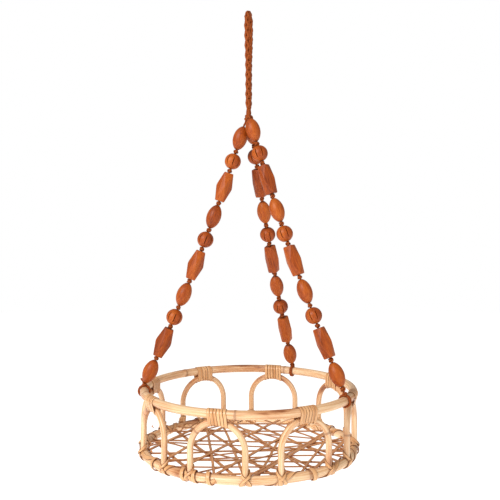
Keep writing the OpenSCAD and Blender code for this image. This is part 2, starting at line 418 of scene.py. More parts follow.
def smooth_line(points: Sequence[Sequence[float]], step: float, closed: bool = False) -> Points:
    """Runs a smooth line through control points.

    Args:
        points: The points to pass through.
        step: About how far apart the new points are.
        closed: Whether the line returns to its first point.

    Returns:
        The points of the line.
    """
    p = np.asarray(points, float)
    n = len(p)
    out: list[Points] = []
    for i in range(n if closed else n - 1):
        ids = [(i + k) % n if closed else min(max(i + k, 0), n - 1) for k in (-1, 0, 1, 2)]
        a, b, c, d = p[ids]
        steps = max(1, math.ceil(float(np.linalg.norm(c - b)) / step))
        for t in np.arange(steps) / steps:
            out.append(
                0.5 * (2 * b + (c - a) * t + (2 * a - 5 * b + 4 * c - d) * t * t + (3 * b - a - 3 * c + d) * t**3)
            )
    if not closed:
        out.append(p[-1])
    return np.array(out)


def headings(path: Points, closed: bool = False) -> Points:
    """Gives the direction of a line at each of its points."""
    if closed:
        return unit(np.roll(path, -1, axis=0) - np.roll(path, 1, axis=0))
    return unit(np.gradient(path, axis=0))


def run_along(path: Points) -> Points:
    """Gives the distance run at each point of a line."""
    return np.concatenate([[0.0], np.cumsum(np.linalg.norm(np.diff(path, axis=0), axis=1))])


def carried_normals(path: Points, first: Sequence[float], closed: bool = False) -> Points:
    """Carries a side direction along a line with no twist of its own.

    Args:
        path: The points of the line.
        first: The side direction wanted at the first point.
        closed: Whether the line returns to its first point.

    Returns:
        One side direction for each point.
    """
    way = headings(path, closed)
    normals = [unit(np.asarray(first, float) - way[0] * np.dot(first, way[0]))]
    for heading in way[1:]:
        normals.append(unit(normals[-1] - heading * np.dot(normals[-1], heading)))
    out = np.array(normals)
    if not closed:
        return out
    home = unit(out[-1] - way[0] * np.dot(out[-1], way[0]))
    gap = math.atan2(float(np.dot(np.cross(home, out[0]), way[0])), float(np.dot(home, out[0])))
    turns = gap * np.arange(len(path)) / len(path)
    side = np.cross(way, out)
    return out * np.cos(turns)[:, None] + side * np.sin(turns)[:, None]


def circle_outline(sides: int, radius: float) -> Points:
    """Gives the corners of a round outline."""
    a = np.arange(sides) * 2 * math.pi / sides
    return np.stack([np.cos(a), np.sin(a)], axis=1) * radius


def strip_outline(width: float, thick: float) -> tuple[Points, Points]:
    """Gives the outline of a flat strip with a crowned face.

    Args:
        width: The strip's width.
        thick: The strip's thickness.

    Returns:
        The outline's corners, and how near its edge each one lies, from 0 to 1.
    """
    shape = [(0.5, -0.25), (0.5, 0.15), (0.4, 0.42), (0.18, 0.5), (-0.18, 0.5), (-0.4, 0.42), (-0.5, 0.15)]
    shape += [(-0.5, -0.25), (-0.38, -0.5), (0.38, -0.5)]
    corners = np.array(shape)
    # How near the edge each corner lies, which the peel finishes paint in shade
    rim = np.clip((np.abs(corners[:, 0]) - 0.36) / 0.14, 0, 1)
    return corners * (width, thick), rim


def place_object(name: str, data: bpy.types.ID) -> bpy.types.Object:
    """Puts an object in the scene.

    Args:
        name: The object's name.
        data: Its mesh, camera or light.

    Returns:
        The new object, at the origin.
    """
    made = bpy.data.objects.new(name, data)
    bpy.context.scene.collection.objects.link(made)
    return made


def note(mesh: bpy.types.Mesh, name: str, values: Points) -> None:
    """Writes a number or a direction on each point of a mesh.

    Args:
        mesh: The mesh.
        name: The attribute's name.
        values: One number, or one row of three, for each point.
    """
    kind, key = ("FLOAT", "value") if values.ndim == 1 else ("FLOAT_VECTOR", "vector")
    mesh.attributes.new(name, kind, "POINT").data.foreach_set(key, values.ravel())


@dataclass
class Skin:
    """Gathers swept surfaces, with the coordinates that their grain follows, into one mesh."""

    points: list[Points] = field(default_factory=list)
    grain: list[Points] = field(default_factory=list)
    rim: list[Points] = field(default_factory=list)
    faces: list[tuple[int, ...]] = field(default_factory=list)
    count: int = 0

    def add(self, points: Points, faces: Sequence[Sequence[int]], grain: Points, rim: Points) -> None:
        """Adds a surface.

        Args:
            points: Its corners.
            faces: Its faces, by the corners' numbers.
            grain: For each corner, the distance along, across and out of its material.
            rim: For each corner, how near an edge it lies, from 0 to 1.
        """
        self.points.append(points)
        self.grain.append(grain)
        self.rim.append(rim)
        self.faces += [tuple(i + self.count for i in face) for face in faces]
        self.count += len(points)

    def sweep(
        self,
        path: Points,
        outline: Points,
        normals: Points,
        swell: Points | None = None,
        closed: bool = False,
        start: float = 0.0,
        rim: Points | None = None,
    ) -> None:
        """Sweeps a closed outline along a line.

        Args:
            path: The line's points.
            outline: The outline's corners, anticlockwise as (across, out).
            normals: The direction of "out" at each point.
            swell: The outline's scale at each point, or None for one.
            closed: Whether the line returns to its first point.
            start: The grain's distance at the first point.
            rim: How near an edge each corner of the outline lies.
        """
        n, k = len(path), len(outline)
        way = headings(path, closed)
        out = unit(normals - way * np.sum(normals * way, axis=1, keepdims=True))
        across = np.cross(out, way)
        scale = np.ones(n) if swell is None else swell
        offsets = outline[None] * scale[:, None, None]
        rings = path[:, None] + offsets[..., :1] * across[:, None] + offsets[..., 1:] * out[:, None]
        run = start + run_along(path)
        grain = np.concatenate([np.repeat(run, k)[:, None], offsets.reshape(-1, 2)], axis=1)
        faces: list[Sequence[int]] = []
        for i in range(n if closed else n - 1):
            a, b = i * k, (i + 1) % n * k
            faces += [(a + j, a + (j + 1) % k, b + (j + 1) % k, b + j) for j in range(k)]
        if not closed:
            faces += [tuple(range(k - 1, -1, -1)), tuple(range((n - 1) * k, n * k))]
        near = np.zeros(k) if rim is None else rim
        self.add(rings.reshape(-1, 3), faces, grain, np.tile(near, n))

    def cord(self, path: Points, diameter: float, sides: int, closed: bool = False, start: float = 0.0) -> None:
        """Sweeps a round cord, with rounded ends if it is open.

        Args:
            path: The line's points.
            diameter: The cord's diameter.
            sides: How many sides it is drawn with.
            closed: Whether the line returns to its first point.
            start: The grain's distance at the first point.
        """
        swell = np.ones(len(path))
        if not closed:
            swell[[0, -1]] = 0.45
            swell[[1, -2]] = 0.9
        normals = carried_normals(path, (0.31, 0.17, 0.93), closed)
        self.sweep(path, circle_outline(sides, diameter / 2), normals, swell, closed, start)

    def to_object(self, name: str, slot: Slot, sharp: float = 50.0) -> bpy.types.Object:
        """Makes one mesh object of everything gathered.

        Args:
            name: The object's name.
            slot: The material slot it is dressed in.
            sharp: Edges that turn by more than this many degrees stay sharp.

        Returns:
            The new object, at the origin and unturned.
        """
        mesh = bpy.data.meshes.new(name)
        mesh.from_pydata(np.concatenate(self.points).tolist(), [], self.faces)
        note(mesh, "grain", np.concatenate(self.grain))
        note(mesh, "rim", np.concatenate(self.rim))
        return mesh_object(name, mesh, slot, sharp)


def mesh_object(name: str, mesh: bpy.types.Mesh, slot: Slot, sharp: float = 50.0) -> bpy.types.Object:
    """Puts a mesh in the scene, shaded smooth and dressed.

    Args:
        name: The object's name.
        mesh: Its mesh.
        slot: The material slot it is dressed in.
        sharp: Edges that turn by more than this many degrees stay sharp.

    Returns:
        The new object.
    """
    mesh.materials.clear()
    mesh.materials.append(MATERIALS[slot])
    mesh.shade_smooth()
    mesh.set_sharp_from_angle(angle=math.radians(sharp))
    return place_object(name, mesh)


def hand_over(piece: bpy.types.Object, body: str | None, slot: Slot, *nodes: str) -> None:
    """Fastens a finished piece to its body and reports it.

    Args:
        piece: The piece.
        body: The body that it moves with, or None to leave it unfastened.
        slot: The piece's material slot. Not used.
        *nodes: The CAD nodes that it stands for.
    """
    if body:
        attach(piece, body)
    if nodes:
        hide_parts(*nodes)
    log.info("%s: %d faces, rides on %s", piece.name, len(piece.data.polygons), body or "two bodies")


# ---- Geometry Nodes ----


@dataclass
class Rule:
    """A Geometry Nodes tree with named inputs, and the way to run it on an object."""

    name: str
    tree: bpy.types.NodeTree = field(init=False)
    given: bpy.types.bpy_prop_collection = field(init=False)
    sockets: dict[str, str] = field(default_factory=dict)

    def __post_init__(self) -> None:
        """Makes the tree with its geometry input and output, and fills it."""
        self.tree = bpy.data.node_groups.new(self.name, "GeometryNodeTree")
        for way in ("OUTPUT", "INPUT"):
            self.tree.interface.new_socket("Geometry", in_out=way, socket_type="NodeSocketGeometry")
        self.build(partial(put, self.tree))

    def ask(self, **kinds: str) -> None:
        """Adds the named inputs.

        Args:
            **kinds: Each input's name, and the last word of its socket type.
        """
        for name, kind in {**kinds, "Finish": "Material"}.items():
            made = self.tree.interface.new_socket(name, in_out="INPUT", socket_type=f"NodeSocket{kind}")
            self.sockets[name] = made.identifier
        self.given = put(self.tree, "NodeGroupInput").node.outputs

    def chance_size(self, add: Add, spread: Socket, seed: Socket | int) -> Socket:
        """Picks a size near one.

        Args:
            add: Adds a node to the tree.
            spread: How far the size may lie from one.
            seed: Picks the sizes.

        Returns:
            The size.
        """
        least, most = [add("ShaderNodeMath", {0: 1.0, 1: spread}, operation=way) for way in ("SUBTRACT", "ADD")]
        return add("FunctionNodeRandomValue", {2: least, 3: most, "Seed": seed}, 1, data_type="FLOAT")

    def end(self, add: Add, geometry: Socket) -> None:
        """Realizes the copies, sets the material and closes the tree.

        Args:
            add: Adds a node to the tree.
            geometry: What the tree has made.
        """
        real = add("GeometryNodeRealizeInstances", {0: geometry})
        dressed = add("GeometryNodeSetMaterial", {"Geometry": real, "Material": self.given["Finish"]})
        add("NodeGroupOutput", {0: dressed})

    def build(self, add: Add) -> None:
        """Fills the tree. Each kind of rule has its own.

        Args:
            add: Adds a node to the tree.
        """
        raise NotImplementedError

    def run(self, mesh: bpy.types.Mesh, slot: Slot, **values: Any) -> bpy.types.Mesh:
        """Runs the tree on a mesh.

        Args:
            mesh: The mesh that goes in. It is removed.
            slot: The material slot of the result.
            **values: A value for each named input.

        Returns:
            The result as a plain mesh.
        """
        seat = place_object(self.name, mesh)
        modifier = seat.modifiers.new(self.name, "NODES")
        modifier.node_group = self.tree
        for name, value in {**values, "Finish": MATERIALS[slot]}.items():
            modifier[self.sockets[name]] = value
        graph = bpy.context.evaluated_depsgraph_get()
        evaluated = seat.evaluated_get(graph)
        result = bpy.data.meshes.new_from_object(evaluated, preserve_all_data_layers=True, depsgraph=graph)
        seat.modifiers.remove(modifier)
        bpy.data.objects.remove(seat)
        bpy.data.meshes.remove(mesh)
        return result


class CopyRule(Rule):
    """Sets copies of one small piece at points, each turned to its own direction."""

    def build(self, add: Add) -> None:
        """Fills the tree: aim, a chance turn, a chance size, then the copies.

        Args:
            add: Adds a node to the tree.
        """
        self.ask(Piece="Object", TurnRange="Float", SizeSpread="Float", Seed="Int")
        given = self.given
        read = partial(add, "GeometryNodeInputNamedAttribute", data_type="FLOAT_VECTOR")
        axes = {0: read({"Name": "aim"}), 1: read({"Name": "side"})}
        facing = add("FunctionNodeAxesToRotation", axes, primary_axis="Z", secondary_axis="X")
        span = {2: 0.0, 3: given["TurnRange"], "Seed": given["Seed"]}
        turn = add("ShaderNodeCombineXYZ", {2: add("FunctionNodeRandomValue", span, 1, data_type="FLOAT")})
        spun = add("FunctionNodeRotateRotation", {0: facing, 1: turn}, rotation_space="LOCAL")
        size = self.chance_size(add, given["SizeSpread"], given["Seed"])
        source = add("GeometryNodeObjectInfo", {"Object": given["Piece"]}, "Geometry")
        copies = {"Points": given["Geometry"], "Instance": source, "Rotation": spun, "Scale": size}
        self.end(add, add("GeometryNodeInstanceOnPoints", copies))


class StripRule(Rule):
    """Lays a flat strip along each line of edges, with a gentle rise and fall."""

    STEP = 5 * MM
    WIDTH_SEED = 7
    CORNER_SHARE = 0.3
    SECTION_POINTS = 18
    EDGE_SHARE = 0.7

    def build(self, add: Add) -> None:
        """Fills the tree: lines to curves, the rise and fall, then the flat section.

        Args:
            add: Adds a node to the tree.
        """
        self.ask(Width="Float", Thickness="Float", WaveHeight="Float", WaveLength="Float", WidthSpread="Float")
        given = self.given
        keep = partial(add, "GeometryNodeCaptureAttribute", domain="POINT")
        store = partial(add, "GeometryNodeStoreNamedAttribute", domain="POINT")
        lines = add("GeometryNodeMeshToCurve", {0: given["Geometry"]})
        fine = add("GeometryNodeResampleCurve", {"Curve": lines, "Length": self.STEP}, mode="LENGTH")
        along = add("GeometryNodeSplineParameter", take="Length")
        kept = keep({0: fine, "Along": along}, keeps={"Along": "FLOAT"}).node.outputs
        place = add("GeometryNodeInputPosition")
        frequency = add("ShaderNodeMath", {0: 1.0, 1: given["WaveLength"]}, operation="DIVIDE")
        drift = add("ShaderNodeTexNoise", {"Vector": place, "Scale": frequency, "Detail": 1.0}, "Color")
        centred = add("ShaderNodeVectorMath", {0: drift, 1: (0.5,) * 3}, operation="SUBTRACT")
        moved = add("ShaderNodeVectorMath", {0: centred, "Scale": given["WaveHeight"]}, operation="SCALE")
        wavy = add("GeometryNodeSetPosition", {"Geometry": kept[0], "Offset": moved})
        level = add("GeometryNodeSetCurveNormal", {0: wavy}, mode="Z_UP")
        width = self.chance_size(add, given["WidthSpread"], self.WIDTH_SEED)
        each = add("GeometryNodeFieldOnDomain", {0: width}, domain="CURVE")
        line = add("GeometryNodeSetCurveRadius", {"Curve": level, "Radius": each})
        box = {"Width": given["Width"], "Height": given["Thickness"]}
        section = add("GeometryNodeCurvePrimitiveQuadrilateral", box, mode="RECTANGLE")
        radius = add("ShaderNodeMath", {0: given["Thickness"], 1: self.CORNER_SHARE}, operation="MULTIPLY")
        eased = add("GeometryNodeFilletCurve", {"Curve": section, "Count": 1, "Radius": radius}, mode="POLY")
        cut = add("GeometryNodeResampleCurve", {"Curve": eased, "Count": self.SECTION_POINTS}, mode="COUNT")
        spot = add("GeometryNodeInputPosition")
        profile = keep({0: cut, "Across": spot}, keeps={"Across": "VECTOR"}).node.outputs
        sweep = {"Curve": line, "Profile Curve": profile[0], "Fill Caps": True}
        swept = add("GeometryNodeCurveToMesh", sweep)
        across, out, _ = add("ShaderNodeSeparateXYZ", {0: profile["Across"]}).node.outputs
        lay = add("ShaderNodeCombineXYZ", {0: kept["Along"], 1: across, 2: out})
        grained = store({"Geometry": swept, "Name": "grain", "Value": lay}, data_type="FLOAT_VECTOR")
        off = add("ShaderNodeMath", {0: across}, operation="ABSOLUTE")
        half = add("ShaderNodeMath", {0: given["Width"], 1: 0.5}, operation="MULTIPLY")
        share = add("ShaderNodeMath", {0: off, 1: half}, operation="DIVIDE")
        # How near the strip's edge each point lies, which the floor finish paints in shade
        near = add("ShaderNodeMapRange", {"Value": share, "From Min": self.EDGE_SHARE})
        self.end(add, store({"Geometry": grained, "Name": "rim", "Value": near}, data_type="FLOAT"))


class SawRule(Rule):
    """Cuts slits into a ball as a round saw would, all round it."""

    def build(self, add: Add) -> None:
        """Fills the tree: how deep the saw reaches at each height, and which points lie in a slit.

        Args:
            add: Adds a node to the tree.
        """
        self.ask(Slits="Float", SlitWidth="Float", DiscRadius="Float", DiscOffset="Float")
        given = self.given
        x, y, z = add("ShaderNodeSeparateXYZ", {0: add("GeometryNodeInputPosition")}).node.outputs
        flat = add("ShaderNodeCombineXYZ", {0: x, 1: y})
        radius = add("ShaderNodeVectorMath", {0: flat}, "Value", operation="LENGTH")
        angle = add("ShaderNodeMath", {0: y, 1: x}, operation="ARCTAN2")
        pitch = add("ShaderNodeMath", {0: math.pi, 1: given["Slits"]}, operation="DIVIDE")
        swing = add("ShaderNodeMath", {0: angle, 1: pitch}, operation="PINGPONG")
        off = add("ShaderNodeMath", {0: swing, 1: radius}, operation="MULTIPLY")
        half = add("ShaderNodeMath", {0: given["SlitWidth"], 1: 0.5}, operation="MULTIPLY")
        inside = add("ShaderNodeMath", {0: off, 1: half}, operation="LESS_THAN")
        disc2, z2 = [add("ShaderNodeMath", {0: v, 1: 2.0}, operation="POWER") for v in (given["DiscRadius"], z)]
        left = add("ShaderNodeMath", {0: disc2, 1: z2}, operation="SUBTRACT")
        safe = add("ShaderNodeMath", {0: left, 1: 0.0}, operation="MAXIMUM")
        chord = add("ShaderNodeMath", {0: safe}, operation="SQRT")
        bottom = add("ShaderNodeMath", {0: given["DiscOffset"], 1: chord}, operation="SUBTRACT")
        cut = add("ShaderNodeMath", {0: bottom, 1: radius}, operation="MINIMUM")
        share = add("ShaderNodeMath", {0: cut, 1: radius}, operation="DIVIDE")
        inner = add("ShaderNodeVectorMath", {0: flat, "Scale": share}, operation="SCALE")
        height = add("ShaderNodeCombineXYZ", {2: z})
        target = add("ShaderNodeVectorMath", {0: inner, 1: height}, operation="ADD")
        sawn = {"Geometry": given["Geometry"], "Selection": inside, "Position": target}
        self.end(add, add("GeometryNodeSetPosition", sawn))


# ---- Where things are ----


@dataclass(frozen=True)
class BasketPlan:
    """Where the hoops and arches lie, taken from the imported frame."""

    rim_z: float
    base_z: float
    hoop_r: float
    hoop_cane: float
    plane_r: float
    angles: tuple[float, ...]
    arch_cane: float = 4 * MM
    arch_r: float = 35 * MM
    gap: float = 0.2 * MM

    @classmethod
    def read(cls) -> "BasketPlan":
        """Reads the places from the frame's boxes.

        Returns:
            The plan.
        """
        low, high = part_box("rim_hoop")
        base_low, base_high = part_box("base_hoop")
        cane = (high.z - low.z) / 2
        middles = [(a + b) / 2 for a, b in (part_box(f"arch_{n + 1}") for n in range(8))]
        return cls(
            rim_z=(low.z + high.z) / 2,
            base_z=(base_low.z + base_high.z) / 2,
            hoop_r=(high.x - low.x) / 2 - cane,
            hoop_cane=cane,
            plane_r=sum(m.xy.length for m in middles) / len(middles),
            angles=tuple(math.atan2(m.x, -m.y) for m in middles),
        )

    @property
    def arch_drop(self) -> float:
        """How far an arch's head lies below the top hoop's centre."""
        return self.hoop_cane + self.arch_cane + self.gap

    def ring(self, angle: Points, z: float) -> Points:
        """Gives points on a hoop's centre-line."""
        return np.stack([self.hoop_r * np.sin(angle), -self.hoop_r * np.cos(angle), np.full(len(angle), z)], axis=1)

    def at_arch(self, n: int, local: Points) -> Points:
        """Places points given as (along the hoop, outwards, up) at an arch.

        Args:
            n: The arch, from 0.
            local: Points from the middle of the arch at the top hoop's height.

        Returns:
            The points in the object's frame.
        """
        return self.turned(self.angles[n], local, self.plane_r, self.rim_z)

    def turned(self, angle: float, local: Points, radius: float, z: float) -> Points:
        """Places points given as (along, outwards, up) at an angle round the axis.

        Args:
            angle: The angle, from the front.
            local: The points.
            radius: How far from the axis their origin lies.
            z: How high it lies.

        Returns:
            The points in the object's frame.
        """
        out = np.array([math.sin(angle), -math.cos(angle), 0.0])
        along = np.array([-math.cos(angle), -math.sin(angle), 0.0])
        up = np.array([0.0, 0.0, 1.0])
        return local[:, :1] * along + (local[:, 1:2] + radius) * out + (local[:, 2:] + z) * up


def wander(path: Points, amount: float, length: float, seed: float) -> Points:
    """Bends a line a little, as a hand-bent cane does.

    Args:
        path: The line's points.
        amount: How far a point may move.
        length: The distance over which the bend changes.
        seed: Any number, which picks the bend.

    Returns:
        The bent line.
    """
    shift = [noise.noise_vector(Vector(p) / length + Vector((seed, 0, 0))) for p in path]
    return path + np.array([tuple(s) for s in shift]) * amount


# ---- Hanging loop ----


@dataclass
class BraidedLoop:
    """The loop that hangs on a hook: a round braid of six cords, with both ends at the crown."""

    width: float = 8.5 * MM
    strand: float = 3.2 * MM
    middle: float = 2.45 * MM
    weave: float = 0.35 * MM
    pitch: float = 40 * MM
    hands: int = 3
    turn: float = math.radians(-7)
    taper_l: float = 22 * MM
    least_taper: float = 0.6
    # From the top down, as (distance forward, height), the same as the CAD part's route, except
    # that the last stretch leans in and runs into the crown's knot
    route: tuple[tuple[float, float], ...] = (
        (0, 4), (9, 2), (15, -4), (17, -12.5), (15.5, -28), (11, -48), (6, -70), (4.45, -92),
        (4.45, -112), (4.3, -121), (3.5, -131), (1.9, -141),
    )  # fmt: skip

    def line(self, step: float) -> Points:
        """Gives the loop's centre-line from its front end to its rear end.

        Args:
            step: About how far apart its points are.

        Returns:
            The line's points.
        """
        front = [(0.0, -f * MM, h * MM) for f, h in reversed(self.route)]
        back = [(0.0, f * MM, h * MM) for f, h in self.route[1:]]
        path = smooth_line(front + back, step)
        c, s = math.cos(self.turn), math.sin(self.turn)
        x, y, z = path.T
        return np.stack([c * x - s * y, s * x + c * y, z], axis=1)

    def build(self) -> None:
        path = self.line(1.3 * MM)
        way = headings(path)
        out = carried_normals(path, (1, 0, 0))
        side = np.cross(way, out)
        run = run_along(path)
        taper = np.clip(np.minimum(run, run[-1] - run) / self.taper_l, self.least_taper, 1.0)
        lay = 2 * math.pi * run / self.pitch
        skin = Skin()
        for hand in (1, -1):
            for number in range(self.hands):
                turn = hand * lay + 2 * math.pi * number / self.hands
                reach = self.middle + hand * self.weave * np.cos(self.hands * lay)
                spot = np.cos(turn)[:, None] * out + np.sin(turn)[:, None] * side
                skin.cord(path + spot * (reach * taper)[:, None], self.strand, 9, start=hand * 0.4 + number)
        loop = skin.to_object("braided_loop", Slot.CORD)
        route = self.line(9 * MM)
        total = float(run_along(route)[-1])
        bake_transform(loop)
        hand_over(loop, None, Slot.CORD, "loop_bight", "loop_legs")


def tangle(width: float, height: float, cord: float, lobes: float = 1.5) -> Points:
    """Gives the line of a pulled-tight knot: two rounds that pass over and under each other.

    Args:
        width: The knot's outer width.
        height: Its outer height, along its cord.
        cord: The cord's diameter.
        lobes: How many times it dips in each round.

    Returns:
        The points of the closed line.
    """
    outer, rise = (width - cord) / 2, (height - cord) / 2
    t = np.linspace(0, 4 * math.pi, 56, endpoint=False)
    reach = outer * (0.74 + 0.26 * np.cos(lobes * t))
    return np.stack([reach * np.cos(t), reach * np.sin(t), rise * np.sin(lobes * t)], axis=1)


@dataclass
class Crown:
    """The knot that gathers the loop's two ends and the three strands."""

    width: float = 12.5 * MM
    height: float = 11.5 * MM
    cord: float = 3.4 * MM
    # Each tangle that the knot is made of: how far it leans, and its share of the knot's size
    tangles: tuple[tuple[float, float], ...] = ((0.0, 1.0), (1.1, 0.93))

    def build(self) -> None:
        """Ties the knot round its core."""
        low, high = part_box("crown_knot")
        middle = np.array((low + high) / 2)
        skin = Skin()
        for lean, share in self.tangles:
            line = tangle(self.width * share, self.height * share, self.cord)
            turned = line @ np.array(Matrix.Rotation(lean, 3, (0.8, 0.6, 0.0))).T
            skin.cord(turned + middle, self.cord, 10, closed=True, start=lean)
        hand_over(skin.to_object("crown_tie", Slot.CORD), "crown", Slot.CORD, "crown_knot")


# ---- Cane ----


@dataclass
class CaneFrame:
    """Two hoops of peeled cane, and the eight bent canes that join them."""

    plan: BasketPlan
    step: float = 2.5 * MM
    bend: float = 0.5 * MM
    swell: float = 0.07
    swell_l: float = 1.8 * MM
    slow_swell: float = 0.025

    def thickness(self, run: Points, seed: float) -> Points:
        """Gives the cane's scale along its length, with a swelling at each growth node.

        Args:
            run: The distance along the cane.
            seed: Any number, which picks the slow changes.

        Returns:
            The scale at each distance.
        """
        pitch = FINISHES[Slot.CANE].node_pitch
        near = np.abs((run + pitch / 2) % pitch - pitch / 2)
        slow = np.array([noise.noise((s * 14, seed, 0.0)) for s in run]) * self.slow_swell
        return 1 + self.swell * np.exp(-((near / self.swell_l) ** 2)) + slow

    def cane(self, path: Points, radius: float, seed: float, closed: bool, normal: Sequence[float]) -> Skin:
        """Sweeps one cane.

        Args:
            path: Its centre-line.
            radius: Its radius.
            seed: Any number, which picks its flaws.
            closed: Whether it is a hoop.
            normal: A side direction at its first point.

        Returns:
            The swept cane.
        """
        start = seed * 0.731
        run = start + run_along(path)
        swell = self.thickness(run, seed)
        if closed:
            blend = np.clip((run - run[0]) / 0.02, 0, 1)
            swell = swell[-1] * (1 - blend) + swell * blend
        skin = Skin()
        skin.sweep(path, circle_outline(20, radius), carried_normals(path, normal, closed), swell, closed, start)
        return skin

    def build(self) -> None:
        """Makes both hoops and every arch."""
        plan = self.plan
        for name, z, seed in (("rim", plan.rim_z, 1.0), ("base", plan.base_z, 2.0)):
            count = round(2 * math.pi * plan.hoop_r / self.step)
            angle = plan.angles[3] + np.arange(count) * 2 * math.pi / count
            ring = wander(plan.ring(angle, z), self.bend, 0.12, seed)
            hoop = self.cane(ring, plan.hoop_cane, seed, True, (0, 0, 1)).to_object(f"{name}_cane", Slot.CANE)
            hand_over(hoop, "basket", Slot.CANE, f"{name}_hoop")
        for n in range(len(plan.angles)):
            self.arch(n)

    def arch(self, n: int) -> None:
        """Bends one arch.

        Args:
            n: The arch, from 0.
        """
        plan = self.plan
        r = plan.arch_r
        spring = -plan.arch_drop - r
        foot = plan.base_z - plan.rim_z + plan.hoop_cane * 0.5
        a = np.linspace(math.pi, 0, round(math.pi * r / self.step))
        head = np.stack([r * np.cos(a), np.zeros_like(a), spring + r * np.sin(a)], axis=1)
        z = np.linspace(foot, spring, round((spring - foot) / self.step), endpoint=False)
        leg = np.stack([np.full_like(z, -r), np.zeros_like(z), z], axis=1)
        path = plan.at_arch(n, np.concatenate([leg, head, (leg * (-1, 1, 1))[::-1]]))
        path = wander(path, self.bend, 0.05, 5.0 + n)
        skin = self.cane(path, plan.arch_cane, 3.0 + n, False, path[0] * (1, 1, 0))
        hand_over(skin.to_object(f"arch_cane_{n + 1}", Slot.CANE), "basket", Slot.CANE, f"arch_{n + 1}")


# ---- Bindings ----


@dataclass
class Bindings:
    """Peel strip: wound round each arch's head, crossed over each foot, and spiralled round the base."""

    plan: BasketPlan
    thick: float = 1.1 * MM
    head_w: float = 29 * MM
    head_turns: int = 6
    head_fill: float = 0.96
    head_start: float = math.radians(-100)
    head_drift: float = 0.7 * MM
    foot_strip: float = 3.3 * MM
    spiral_strip: float = 6 * MM
    spiral_turns: int = 12
    # Each loose end: degrees round the hoop, height and curl in millimetres, and its hand
    ends: tuple[tuple[float, float, float, float], ...] = (
        (-82, 10, 5.0, 1.0), (-74, 4, 3.4, -1.0), (-96, 22, 3.0, 1.0), (148, 9, 3.6, -1.0),
    )  # fmt: skip

    def head(self, n: int) -> None:
        """Winds the peel round the top hoop and one arch's head.

        Args:
            n: The arch, from 0.
        """
        plan = self.plan
        strip = self.head_w / (self.head_turns + 1) * self.head_fill
        count = self.head_turns * 30 + 1
        x = np.linspace(-1, 1, count) * (self.head_w - strip) / 2
        phi = self.head_start + np.linspace(0, 2 * math.pi * self.head_turns, count)
        x = x + np.array([noise.noise((p * 0.5, n * 3.1, 0.0)) for p in phi]) * self.head_drift
        hoop_y = np.sqrt(plan.hoop_r**2 - x**2) - plan.plane_r
        arch_z = -plan.arch_drop - plan.arch_r + np.sqrt(plan.arch_r**2 - x**2)
        u = np.stack([np.cos(phi), np.sin(phi)], axis=1)
        centres = [np.stack([hoop_y, np.zeros(count)], axis=1), np.stack([np.zeros(count), arch_z], axis=1)]
        radii = [plan.hoop_cane + self.thick / 2, plan.arch_cane + self.thick / 2]
        far = [np.sum(c * u, axis=1) + r for c, r in zip(centres, radii)]
        top = (far[0] >= far[1])[:, None]
        spot = np.where(top, centres[0] + u * radii[0], centres[1] + u * radii[1])
        local = np.concatenate([x[:, None], spot], axis=1)
        path = plan.at_arch(n, local)
        normals = plan.at_arch(n, local + np.concatenate([np.zeros((count, 1)), u], axis=1)) - path
        outline, rim = strip_outline(strip, self.thick)
        skin = Skin()
        skin.sweep(path, outline, normals, start=n * 1.7, rim=rim)
        piece = skin.to_object(f"head_winding_{n + 1}", Slot.PEEL, 60)
        hand_over(piece, "basket", Slot.PEEL, f"rim_binding_{n + 1}")

    def crossing(self, spread: float, top: float, lift: float) -> tuple[Points, Points]:
        """Gives one round of a foot's crossed lashing.

        Args:
            spread: How far along the hoop the round reaches on either side.
            top: How high up the leg it passes behind.
            lift: How far it stands off the canes.

        Returns:
            Its points and its outward directions, as (along, outwards, up) from the hoop's centre.
        """
        hoop = self.plan.hoop_cane + self.thick / 2 + lift
        leg = self.plan.arch_cane + self.thick / 2 + lift
        lean = self.plan.plane_r - math.sqrt(self.plan.hoop_r**2 - self.plan.arch_r**2)
        front = max(hoop, leg + lean)
        up = [
            (-spread, 0.0, -hoop),
            (-spread * 0.95, hoop * 0.8, -hoop * 0.62),
            (-spread * 0.55, front * 0.99, 0.0),
            (0.0, front + lift, 3.2 * MM),
            (leg * 0.8, lean + leg * 0.75, 6.4 * MM),
            (leg * 0.95, lean - leg * 0.3, top * 0.93),
        ]
        # The way down mirrors the way up, and crosses over it in front
        down = [(-x, y, z) for x, y, z in reversed(up)]
        down[2] = (0.0, front + lift + self.thick, 3.2 * MM)
        under = [(spread * 0.9, -hoop * 0.85, -hoop * 0.5), (spread * 0.3, -hoop, hoop * 0.2)]
        under += [(-x, y, z) for x, y, z in reversed(under)]
        path = smooth_line([*up, (0.0, lean - leg, top), *down, *under], 1.6 * MM, closed=True)
        on_leg = np.clip((path[:, 2] - 3 * MM) / (5 * MM), 0, 1)[:, None]
        round_hoop = unit(path * (0, 1, 1))
        round_leg = unit((path - (0, lean, 0)) * (1, 1, 0))
        return path, unit(round_hoop * (1 - on_leg) + round_leg * on_leg)

    def feet(self) -> None:
        """Lashes every leg to the base hoop with crossed strips."""
        plan = self.plan
        outline, rim = strip_outline(self.foot_strip, self.thick)
        skin = Skin()
        swing = math.asin(plan.arch_r / plan.hoop_r)
        for n, angle in enumerate(plan.angles):
            for side in (-1, 1):
                for k, (spread, top) in enumerate(((2.2, 8.4), (4.4, 10.6), (6.2, 12.8))):
                    path, out = self.crossing(spread * MM, top * MM, k * 0.35 * MM)
                    foot = angle + side * swing
                    world = plan.turned(foot, path, plan.hoop_r, plan.base_z)
                    normals = plan.turned(foot, path + out, plan.hoop_r, plan.base_z) - world
                    skin.sweep(world, outline, normals, closed=True, start=n * 2.3 + k + side, rim=rim)
        hand_over(skin.to_object("foot_lashings", Slot.PEEL, 60), "basket", Slot.PEEL, "foot_bindings")

